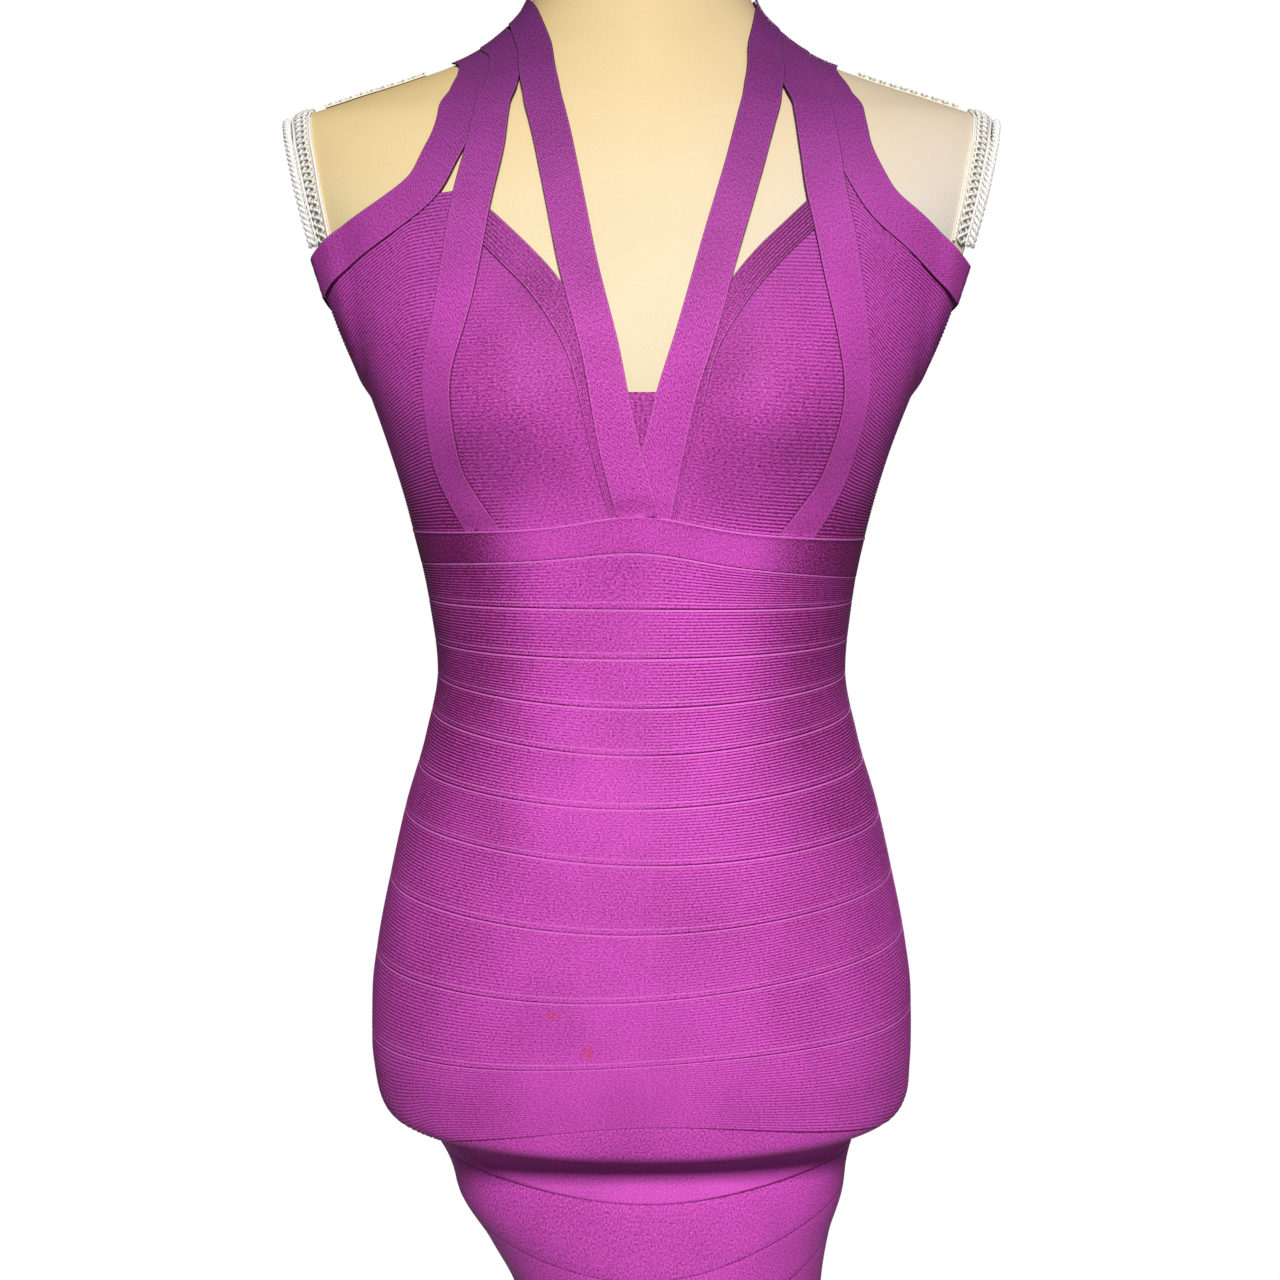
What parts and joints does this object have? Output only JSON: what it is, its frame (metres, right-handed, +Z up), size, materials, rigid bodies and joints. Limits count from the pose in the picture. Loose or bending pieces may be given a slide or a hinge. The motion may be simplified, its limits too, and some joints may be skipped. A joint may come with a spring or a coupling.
{
  "type": "bodycon dress on a limbless dress form with a stand",
  "caption": "Knitted halter bodycon dress with crossed straps and banded skirt, worn by a cream limbless dress form on a round metal stand.",
  "frame": {"origin": "on the floor under the middle of the stand's base", "axes": "+Z up, -Y the front of the dress, +X the wearer's left"},
  "size_m": [0.3978, 0.34, 1.2953],
  "materials": {
    "knit": "purple ribbed knit",
    "cover": "cream jersey",
    "plate": "cream jersey over board",
    "braid": "pale grey braid",
    "steel": "black, satin"
  },
  "bodies": {
    "root": {"arm_braid_left": "braid", "arm_braid_right": "braid", "arm_plate_left": "plate", "arm_plate_right": "plate", "back_band_01": "knit", "back_band_02": "knit", "back_band_03": "knit", "back_band_04": "knit", "back_edge_band": "knit", "body_band_01": "knit", "body_band_02": "knit", "body_band_03": "knit", "body_band_04": "knit", "body_band_05": "knit", "body_band_06": "knit", "body_band_07": "knit", "body_band_08": "knit", "body_band_09": "knit", "body_band_10": "knit", "centre_insert": "knit", "cup_binding_left": "knit", "cup_binding_right": "knit", "cup_left": "knit", "cup_right": "knit", "form_torso": "cover", "hem_band": "knit", "inner_strap_left": "knit", "inner_strap_right": "knit", "middle_strap_left": "knit", "middle_strap_right": "knit", "neck_braid_left": "braid", "neck_braid_right": "braid", "neck_cap": "plate", "neckband": "knit", "outer_strap_left": "knit", "outer_strap_right": "knit", "rim_band": "knit", "shoulder_braid_left": "braid", "shoulder_braid_right": "braid", "side_bust_left": "knit", "side_bust_right": "knit", "skirt_band_01": "knit", "skirt_band_02": "knit", "skirt_band_03": "knit", "skirt_band_04": "knit", "skirt_band_05": "knit", "skirt_band_06": "knit", "skirt_band_07": "knit", "stand_base": "steel", "stand_flange": "steel", "stand_pole": "steel", "underbust_band": "knit"}
  },
  "joints": []
}
